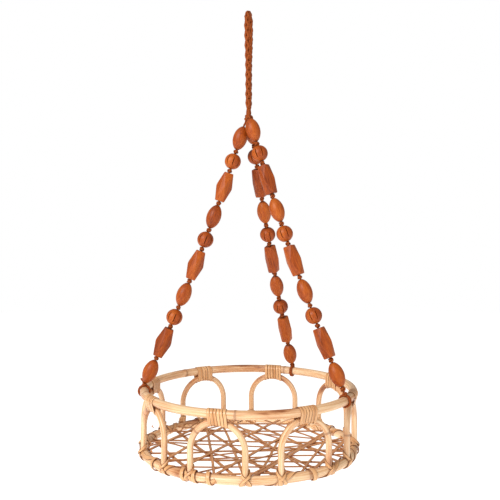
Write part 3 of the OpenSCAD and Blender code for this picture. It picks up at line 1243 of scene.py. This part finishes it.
    def spiral(self) -> None:
        """Winds an open spiral of peel round the whole base hoop."""
        plan = self.plan
        count = self.spiral_turns * 30
        angle = plan.angles[0] + np.linspace(0, 2 * math.pi, count)
        turn = np.linspace(0, 2 * math.pi * self.spiral_turns, count)
        turn = turn + np.array([noise.noise((a * 2.0, 8.0, 0.0)) for a in angle]) * 4.0
        out = np.stack([np.sin(angle), -np.cos(angle), np.zeros(count)], axis=1)
        normals = np.cos(turn)[:, None] * out + np.sin(turn)[:, None] * np.array([0.0, 0.0, 1.0])
        path = plan.ring(angle, plan.base_z) + normals * (plan.hoop_cane + self.thick / 2)
        outline, rim = strip_outline(self.spiral_strip, self.thick)
        skin = Skin()
        skin.sweep(path, outline, normals, rim=rim)
        hand_over(skin.to_object("base_spiral", Slot.PEEL, 60), "basket", Slot.PEEL)

    def loose_ends(self) -> None:
        """Leaves thin ends of peel curling out of the lashings on the left and at the rear."""
        skin = Skin()
        curl = np.linspace(0, 1.5 * math.pi, 18)
        for degrees, height, radius, hand in self.ends:
            reach = radius * MM * (1 - curl / (3 * math.pi))
            along = hand * reach * np.sin(curl)
            out = -(self.plan.hoop_cane + self.thick) - reach * (1 - np.cos(curl)) * 0.5
            up = height * MM + reach * (np.cos(curl) - 1) + curl * MM
            local = np.stack([along, out, up], axis=1)
            path = self.plan.turned(math.radians(degrees), local, self.plan.hoop_r, self.plan.base_z)
            skin.cord(path, 1.3 * MM, 6, start=degrees)
        hand_over(skin.to_object("loose_ends", Slot.FLOOR), "basket", Slot.FLOOR)

    def build(self) -> None:
        """Makes every winding and lashing."""
        for n in range(len(self.plan.angles)):
            self.head(n)
        self.feet()
        self.spiral()
        self.loose_ends()


# ---- Floor ----


class Layer(Enum):
    """The three directions of the floor's strips, with the CAD node and the turn of each."""

    ACROSS = ("floor_strips_across", 0)
    RISING = ("floor_strips_rising", 1)
    FALLING = ("floor_strips_falling", -1)


@dataclass
class WovenFloor:
    """Three crossing layers of flat strip, each end looped round the base hoop."""

    plan: BasketPlan
    strips: StripRule
    copies: CopyRule
    width: float = 5.4 * MM
    thick: float = 1.3 * MM
    pitch: float = 46 * MM
    lean: float = math.radians(63)
    drift: float = 5 * MM
    skew: float = math.radians(4)
    thin_strips: int = 16
    thin_width: float = 3.6 * MM
    thin_reach: float = 0.72
    wave_h: float = 3.5 * MM
    wave_l: float = 75 * MM
    width_spread: float = 0.3
    tie_turns: int = 1

    def layer_lines(self, layer: Layer) -> list[Points]:
        """Gives the two ends of every strip in a layer.

        Args:
            layer: The layer.

        Returns:
            One pair of points for each strip.
        """
        plan = self.plan
        step = layer.value[1]
        room = plan.hoop_r - plan.hoop_cane - self.width
        count = 2 * math.floor(room / self.pitch + 0.5)
        chance = np.random.default_rng(11 + step)
        lines = []
        for i in range(count):
            off = (i - (count - 1) / 2) * self.pitch + chance.uniform(-1, 1) * self.drift
            turn = step * self.lean + chance.uniform(-1, 1) * self.skew
            lines.append(self.chord(off, turn, plan.base_z + step * self.thick))
        return lines

    def chord(self, off: float, turn: float, z: float) -> Points:
        """Gives the two ends of a strip that spans the base hoop.

        Args:
            off: How far the strip passes from the middle.
            turn: The strip's direction.
            z: Its height.

        Returns:
            Its two end points.
        """
        reach = math.sqrt(self.plan.hoop_r**2 - off**2) - self.plan.hoop_cane * 0.8
        c, s = math.cos(turn), math.sin(turn)
        return np.array([(c * x - s * off, s * x + c * off, z) for x in (-reach, reach)])

    def thin_lines(self) -> list[Points]:
        """Gives the ends of the thin strips, laid at any angle through the three layers.

        Returns:
            One pair of points for each strip.
        """
        chance = np.random.default_rng(29)
        lines = []
        for k in range(self.thin_strips):
            off = chance.uniform(-self.thin_reach, self.thin_reach) * self.plan.hoop_r
            turn = math.pi * k / self.thin_strips + chance.uniform(-0.1, 0.1)
            height = self.plan.base_z + self.thick * chance.uniform(-1.2, 1.6)
            lines.append(self.chord(off, turn, height))
        return lines

    def lay(self, name: str, lines: Sequence[Points], width: float, *nodes: str) -> None:
        """Lays a strip along each line, in one piece.

        Args:
            name: The piece's name.
            lines: The ends of the strips.
            width: The strips' width.
            *nodes: The CAD node that the strips stand for, if there is one.
        """
        mesh = bpy.data.meshes.new(name)
        points = [tuple(p) for line in lines for p in line]
        mesh.from_pydata(points, [(2 * i, 2 * i + 1) for i in range(len(lines))], [])
        laid = self.strips.run(
            mesh,
            Slot.FLOOR,
            Width=width,
            Thickness=self.thick,
            WaveHeight=self.wave_h,
            WaveLength=self.wave_l,
            WidthSpread=self.width_spread,
        )
        hand_over(mesh_object(name, laid, Slot.FLOOR, 40), "basket", Slot.FLOOR, *nodes)

    def tie(self) -> bpy.types.Object:
        """Makes the loop of strip that one end takes round the hoop, about the origin.

        Returns:
            The loop as an object of its own, to be copied.
        """
        count = self.tie_turns * 22
        turn = np.linspace(0, 2 * math.pi * self.tie_turns, count)
        x = np.linspace(-0.5, 0.5, count) * self.width * 1.4
        reach = self.plan.hoop_cane + self.thick * 1.25
        out = np.stack([np.zeros(count), np.cos(turn), np.sin(turn)], axis=1)
        path = out * reach
        path[:, 0] = x
        outline, rim = strip_outline(self.width, self.thick)
        skin = Skin()
        skin.sweep(path, outline, out, rim=rim)
        return skin.to_object("floor_tie", Slot.PEEL, 60)

    def build(self) -> None:
        """Lays the layers and ties their ends."""
        plan = self.plan
        ends: list[Points] = []
        for layer in Layer:
            lines = self.layer_lines(layer)
            self.lay(f"{layer.name.lower()}_strips", lines, self.width, layer.value[0])
            ends += [p for line in lines[::2] for p in line]
        self.lay("thin_strips", self.thin_lines(), self.thin_width)
        angles = np.array([math.atan2(p[0], -p[1]) for p in ends])
        spots = bpy.data.meshes.new("tie_spots")
        spots.from_pydata(plan.ring(angles, plan.base_z).tolist(), [], [])
        note(spots, "aim", np.tile([0.0, 0.0, 1.0], (len(ends), 1)))
        note(spots, "side", np.stack([np.cos(angles), np.sin(angles), np.zeros(len(ends))], axis=1))
        pattern = self.tie()
        ties = self.copies.run(spots, Slot.PEEL, Piece=pattern, TurnRange=0.0, SizeSpread=0.04, Seed=3)
        bpy.data.objects.remove(pattern)
        hand_over(mesh_object("floor_ties", ties, Slot.PEEL, 60), "basket", Slot.PEEL)


# ---- Beads and strands ----


class BeadKind(Enum):
    """The three shapes of bead, as their CAD nodes name them."""

    OVAL = "oval"
    ROUND = "round"
    FACET = "facet"


@dataclass(frozen=True)
class Bead:
    """One bead: its CAD node, its place and the direction of its hole."""

    node: str
    kind: BeadKind
    centre: Vector
    down: Vector

    @classmethod
    def read(cls, joint: dict[str, Any]) -> "Bead":
        """Reads a bead from the joint that it spins on.

        Args:
            joint: The joint, as the record gives it.

        Returns:
            The bead.
        """
        node = joint["child"]
        down = Vector(joint["axis"]).normalized()
        if down.z > 0:
            down.negate()
        return cls(node, BeadKind(node.rsplit("_", 1)[1]), Vector(joint["pos_m"]), down)


@dataclass
class BeadTurner:
    """Turns, saws and facets the beads."""

    saw: SawRule
    bore: float = 4.4 * MM
    oval_d: float = 20 * MM
    oval_l: float = 33 * MM
    oval_share: float = 0.943
    round_d: float = 22.5 * MM
    round_share: float = 0.955
    facet_end: float = 12.5 * MM
    facet_mid: float = 16 * MM
    facet_l: float = 41 * MM
    slits: int = 8
    slit_w: float = 0.9 * MM
    slit_depth: float = 4.5 * MM
    disc_r: float = 8 * MM
    ease: float = 0.7 * MM
    oval_taper: float = 0.62
    # The darker soaked end grain, and the painted shade in the bore and the slits
    soak_shade_w: float = 2.2 * MM
    soak_shade_l: float = 2 * MM
    soak_shade_dark: float = 0.85
    slit_shade_l: float = 1.5 * MM
    pith: float = 4 * MM
    next_wood: tuple[float, float, float] = (3.7, 1.3, 2.9)

    def length(self, kind: BeadKind) -> float:
        """Gives a bead's length along its hole."""
        lengths = {
            BeadKind.OVAL: self.oval_l,
            BeadKind.ROUND: self.round_d * self.round_share,
            BeadKind.FACET: self.facet_l,
        }
        return lengths[kind]

    def profile(self, width: float, full: float, length: float, taper: float = 0.5) -> Points:
        """Gives the half section of a turned bead, from one end of its hole to the other.

        Args:
            width: The bead's diameter.
            full: The length that the whole ellipse would have.
            length: The length between the flat ends.
            taper: How sharply it narrows: a half for an ellipse, more for pointed ends.

        Returns:
            Points as (radius, height).
        """
        z = np.sin(np.linspace(-math.pi / 2, math.pi / 2, 25)) * length / 2
        r = width / 2 * (1 - (z / (full / 2)) ** 2) ** taper
        end = length / 2
        hole = self.bore / 2
        lip = [(hole, -end + 1.6 * MM), (hole, -end + 0.3 * MM), (hole + 0.3 * MM, -end)]
        lip += [(max(r[0] - 0.35 * MM, hole + 0.5 * MM), -end)]
        side = [(float(a), float(b)) for a, b in zip(r[1:-1], z[1:-1])]
        return np.array(lip + side + [(a, -b) for a, b in reversed(lip)])

    def spin(self, profile: Points, angles: Points) -> tuple[Points, list[tuple[int, ...]]]:
        """Spins a half section round the hole, with the hole's wall closing it.

        Args:
            profile: Points as (radius, height), closed through the hole.
            angles: The angles of the columns of points.

        Returns:
            The corners and the faces, facing outwards.
        """
        n, k = len(angles), len(profile)
        points = [(r * math.cos(a), r * math.sin(a), z) for a in angles for r, z in profile]
        faces = []
        for i in range(n):
            a, b = i * k, (i + 1) % n * k
            faces += [(a + j, b + j, b + (j + 1) % k, a + (j + 1) % k) for j in range(k)]
        return np.array(points), faces

    def turned(self, name: str, kind: BeadKind) -> bpy.types.Mesh:
        """Turns an oval bead, or turns and saws a round one.

        Args:
            name: The mesh's name.
            kind: Which of the two it is.

        Returns:
            The bead's mesh, about the origin with its hole upright.
        """
        mesh = bpy.data.meshes.new(name)
        if kind is BeadKind.OVAL:
            profile = self.profile(self.oval_d, self.oval_l / self.oval_share, self.oval_l, self.oval_taper)
            points, faces = self.spin(profile, np.linspace(0, 2 * math.pi, 40, endpoint=False))
            mesh.from_pydata(points.tolist(), [], faces)
            return mesh
        profile = self.profile(self.round_d, self.round_d, self.round_d * self.round_share)
        pitch = 2 * math.pi / self.slits
        half = self.slit_w / self.round_d
        local = [-1.35 * half, -0.82 * half, 0.0, 0.82 * half, 1.35 * half]
        rest = np.linspace(1.35 * half, pitch - 1.35 * half, 7)[1:-1]
        angles = np.array([i * pitch + a for i in range(self.slits) for a in [*local, *rest]])
        points, faces = self.spin(profile, angles)
        mesh.from_pydata(points.tolist(), [], faces)
        return self.saw.run(
            mesh,
            Slot.BEAD,
            Slits=float(self.slits),
            SlitWidth=self.slit_w,
            DiscRadius=self.disc_r,
            DiscOffset=self.round_d / 2 - self.slit_depth + self.disc_r,
        )

    def faceted(self, name: str) -> bpy.types.Mesh:
        """Cuts a long bead whose square ends meet a square waist set cornerwise.

        Args:
            name: The mesh's name.

        Returns:
            The bead's mesh, about the origin with its hole upright.
        """
        block = bmesh.new()
        e, m, h = self.facet_end / 2, self.facet_mid / math.sqrt(2), self.facet_l / 2
        corners = [(x * e, y * e, z) for x in (-1, 1) for y in (-1, 1) for z in (-h, -h + MM, h - MM, h)]
        corners += [(x * m, y * m, z) for x, y in ((1, 0), (-1, 0), (0, 1), (0, -1)) for z in (-MM / 2, MM / 2)]
        for corner in corners:
            block.verts.new(corner)
        bmesh.ops.convex_hull(block, input=block.verts)
        bmesh.ops.dissolve_limit(block, angle_limit=0.02, verts=block.verts, edges=block.edges)
        bmesh.ops.bevel(block, geom=list(block.edges), offset=self.ease, segments=2, profile=0.5, affect="EDGES")
        bmesh.ops.recalc_face_normals(block, faces=block.faces)
        mesh = bpy.data.meshes.new(name)
        block.to_mesh(mesh)
        block.free()
        drill = bmesh.new()
        r = self.bore / 2
        bmesh.ops.create_cone(drill, cap_ends=True, segments=20, radius1=r, radius2=r, depth=self.facet_l * 2)
        bit_mesh = bpy.data.meshes.new("drill")
        drill.to_mesh(bit_mesh)
        drill.free()
        blank, bit = place_object(name, mesh), place_object("drill", bit_mesh)
        cut = blank.modifiers.new("bore", "BOOLEAN")
        cut.object = bit
        cut.solver = "EXACT"
        graph = bpy.context.evaluated_depsgraph_get()
        bored = bpy.data.meshes.new_from_object(blank.evaluated_get(graph))
        for obj, data in ((blank, mesh), (bit, bit_mesh)):
            bpy.data.objects.remove(obj)
            bpy.data.meshes.remove(data)
        return bored

    def make(self, bead: Bead, number: int) -> None:
        """Makes one bead in its place, on its own body.

        Args:
            bead: The bead.
            number: The bead's number in the whole basket, which picks its grain.
        """
        name = bead.node.replace("_bead_", "_wood_")
        mesh = self.faceted(name) if bead.kind is BeadKind.FACET else self.turned(name, bead.kind)
        mesh.name = name
        count = len(mesh.vertices)
        local = np.empty(count * 3)
        mesh.vertices.foreach_get("co", local)
        local = local.reshape(-1, 3)
        shift = np.array(self.next_wood) * number
        grain = np.stack([local[:, 2], local[:, 0] + self.pith, local[:, 1]], axis=1) + shift
        reach = np.hypot(local[:, 0], local[:, 1])
        tip = self.length(bead.kind) / 2 - np.abs(local[:, 2])
        # Darker end grain round the hole, which also paints shade down the bore
        rim = np.clip(1 - (reach - self.bore / 2) / self.soak_shade_w, 0, 1) * (tip < self.soak_shade_l)
        # Painted shade deep in the saw slits
        if bead.kind is BeadKind.ROUND:
            depth = self.round_d / 2 - np.hypot(reach, local[:, 2])
            rim = np.maximum(rim, np.clip(depth / self.slit_shade_l, 0, 1) * (reach > self.bore / 2 + MM))
        note(mesh, "grain", grain)
        note(mesh, "rim", rim * self.soak_shade_dark)
        d = bead.down
        turn = Matrix.Rotation(math.atan2(d.y, d.x), 4, "Z") @ Matrix.Rotation(math.acos(d.z), 4, "Y")
        mesh.transform(Matrix.Translation(bead.centre) @ turn)
        hand_over(mesh_object(name, mesh, Slot.BEAD, 35), bead.node, Slot.BEAD, bead.node)


@dataclass
class BeadStrand:
    """One strand: a cord through ten beads, a knot after each, hitched to the top hoop."""

    name: str
    plan: BasketPlan
    turner: BeadTurner
    copies: CopyRule
    extra_knots: int
    stretch: float
    tail: tuple[float, float, float]
    first_number: int
    cord: float = 3 * MM
    knot_w: float = 7.8 * MM
    knot_h: float = 5.6 * MM
    knot_l: float = 5.5 * MM
    slack: float = 1 * MM
    clear: float = 0.2 * MM
    rounds: int = 2

    @property
    def knot_gap(self) -> float:
        """The room that a knot takes up between two beads."""
        return self.knot_l * self.stretch + self.slack

    def beads(self) -> list[Bead]:
        """Gives this strand's beads from the top down."""
        joints = [j for j in frame["joints"] if j["child"].startswith(f"{self.name}_bead_")]
        return [Bead.read(j) for j in sorted(joints, key=lambda j: j["child"])]

    def spots(self, beads: Sequence[Bead]) -> tuple[list[Vector], list[Vector]]:
        """Finds where the knots sit.

        Args:
            beads: The beads from the top down.

        Returns:
            The knots' places, and the cord's direction at each.
        """
        tops = [b.centre - b.down * self.turner.length(b.kind) / 2 for b in beads]
        ends = [b.centre + b.down * self.turner.length(b.kind) / 2 for b in beads]
        places = [(a + b) / 2 for a, b in zip(ends, tops[1:])]
        ways = [(a.down + b.down).normalized() for a, b in zip(beads, beads[1:])]
        for k in range(self.extra_knots):
            places.append(ends[-1] + beads[-1].down * self.knot_gap * (k + 0.5))
            ways.append(beads[-1].down)
        return places, ways

    def knots(self, places: Sequence[Vector], ways: Sequence[Vector]) -> bpy.types.Mesh:
        """Ties a knot at each place.

        Args:
            places: The knots' places.
            ways: The cord's direction at each.

        Returns:
            All the strand's knots in one mesh.
        """
        skin = Skin()
        line = tangle(self.knot_w, self.knot_h * self.stretch, self.cord * 0.85) * (1, 0.86, 1)
        leant = line @ np.array(Matrix.Rotation(0.3, 3, "X")).T
        skin.cord(leant, self.cord * 0.85, 8, closed=True)
        pattern = skin.to_object("knot", Slot.CORD)
        spots = bpy.data.meshes.new("knot_spots")
        spots.from_pydata([tuple(p) for p in places], [], [])
        note(spots, "aim", np.array([tuple(way) for way in ways]))
        note(spots, "side", np.array([tuple(way.orthogonal().normalized()) for way in ways]))
        chance = {"TurnRange": 2 * math.pi, "SizeSpread": 0.05, "Seed": self.first_number}
        tied = self.copies.run(spots, Slot.CORD, Piece=pattern, **chance)
        bpy.data.objects.remove(pattern)
        return tied

    def hitch(self, last: Vector) -> Points:
        """Gives the line of the cord round the top hoop, and its tail.

        Args:
            last: The last knot's place.

        Returns:
            The line's points.
        """
        plan = self.plan
        angle = math.atan2(last.x, -last.y)
        reach = plan.hoop_cane + self.cord / 2 + self.clear
        turn = np.radians(np.arange(90, 89 - 360 * self.rounds, -20))
        x = np.linspace(-1.6, 1.6, len(turn)) * MM
        wraps = np.stack([x, reach * np.cos(turn), reach * np.sin(turn)], axis=1)
        along, out, up = self.tail
        tip = wraps[-1]
        end = [tip + np.array([along * 0.4, out * 0.3, up * 0.55]) * MM, tip + np.array([along, out, up]) * MM]
        local = np.concatenate([wraps, end])
        world = plan.turned(angle, local, plan.hoop_r, plan.rim_z)
        return smooth_line([tuple(last), *world.tolist()], 1.5 * MM)

    def build(self) -> None:
        """Strings the beads, ties the knots and hitches the strand."""
        beads = self.beads()
        for k, bead in enumerate(beads):
            self.turner.make(bead, self.first_number + k)
        places, ways = self.spots(beads)
        low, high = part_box("crown_knot")
        crown = (low + high) / 2
        start = beads[0].centre - beads[0].down * (self.turner.length(beads[0].kind) / 2 + self.knot_gap / 2)
        out = (start - crown).normalized()
        path = smooth_line([tuple(p) for p in (crown + out * 4.5 * MM, start, *places)], 3 * MM)
        skin = Skin()
        skin.cord(path, self.cord * 0.92, 10)
        skin.cord(self.hitch(places[-1]), self.cord, 10, start=0.7)
        line = skin.to_object(f"{self.name}_cord", Slot.CORD)
        hand_over(line, "basket", Slot.CORD, f"strand_cord_{self.name}")
        hand_over(mesh_object(f"{self.name}_knots", self.knots(places, ways), Slot.CORD), "basket", Slot.CORD)


# ---- Studio ----


@dataclass
class Studio:
    """The camera, the soft light and the pale floor."""

    plan: BasketPlan
    distance: float = 1.087
    height: float = 0.241
    lens: float = 56.23
    shift: tuple[float, float] = (0.0026, -0.0688)
    middle: tuple[float, float, float] = (0.0, 0.0, -0.35)
    floor_drop: float = 0.32
    floor_half: float = 4.0

    def camera(self) -> None:
        """Sets the camera level, a little above the top hoop."""
        data = bpy.data.cameras.new("camera")
        data.lens = self.lens
        data.sensor_width = 36.0
        data.shift_x, data.shift_y = self.shift
        eye = place_object("camera", data)
        eye.location = (0.0, -self.distance, self.plan.rim_z + self.height)
        eye.rotation_euler = (math.pi / 2, 0.0, 0.0)
        bpy.context.scene.camera = eye

    def light(self, name: str, place: tuple[float, float, float], size: float, power: float) -> None:
        """Hangs one square soft light aimed at the middle of the object.

        Args:
            name: The light's name.
            place: Where it hangs.
            size: Its side.
            power: Its power in watts.
        """
        data = bpy.data.lights.new(name, "AREA")
        data.size = size
        data.energy = power
        lamp = place_object(name, data)
        lamp.location = place
        lamp.rotation_euler = (Vector(self.middle) - Vector(place)).to_track_quat("-Z", "Y").to_euler()

    def surroundings(self) -> None:
        """Lights the scene and lays the floor."""
        world = bpy.data.worlds.new("studio")
        bpy.context.scene.world = world
        world.use_nodes = True
        world.node_tree.nodes.clear()
        add = partial(put, world.node_tree)
        fill = add("ShaderNodeBackground", {"Color": srgb("#FFFCF8"), "Strength": 0.42})
        backdrop = add("ShaderNodeBackground", {"Color": srgb("#FFFFFF"), "Strength": 1.0})
        seen = add("ShaderNodeLightPath", take="Is Camera Ray")
        add("ShaderNodeOutputWorld", {"Surface": add("ShaderNodeMixShader", {0: seen, 1: fill, 2: backdrop})})
        self.light("key", (-1.25, -1.5, 0.85), 1.0, 48.0)
        self.light("fill", (1.6, -1.3, -0.1), 1.4, 6.0)
        paper = bpy.data.meshes.new("paper")
        z, r = self.plan.base_z - self.floor_drop, self.floor_half
        paper.from_pydata([(-r, -r, z), (r, -r, z), (r, r, z), (-r, r, z)], [], [(0, 1, 2, 3)])
        paper.materials.append(PalePaper().make())
        place_object("paper", paper)
        bpy.context.scene.view_settings.view_transform = "Standard"


# Each strand: its name, its knots before the hitch, its knots' stretch, and its tail in millimetres
STRANDS = (
    ("left", 1, 1.0, (3, 5, 9)),
    ("right", 2, 1.06, (-4, 4, -3)),
    ("back", 1, 1.15, (3, -3, -6)),
)


def main() -> None:
    """Builds the basket piece by piece."""
    logging.basicConfig(level=logging.INFO, format="%(name)s: %(message)s")
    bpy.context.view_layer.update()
    noise.seed_set(NOISE_SEED)
    MATERIALS.update({slot: finish.make() for slot, finish in FINISHES.items()})
    plan = BasketPlan.read()
    studio = Studio(plan)
    studio.camera()
    BraidedLoop().build()
    Crown().build()
    copies = CopyRule("set_copies")
    turner = BeadTurner(SawRule("saw_slits"))
    for k, (name, hitch_knots, stretch, tail) in enumerate(STRANDS):
        BeadStrand(name, plan, turner, copies, hitch_knots, stretch, tail, 10 * k).build()
    CaneFrame(plan).build()
    Bindings(plan).build()
    WovenFloor(plan, StripRule("lay_strips"), copies).build()
    studio.surroundings()


if __name__ == "__main__":
    main()
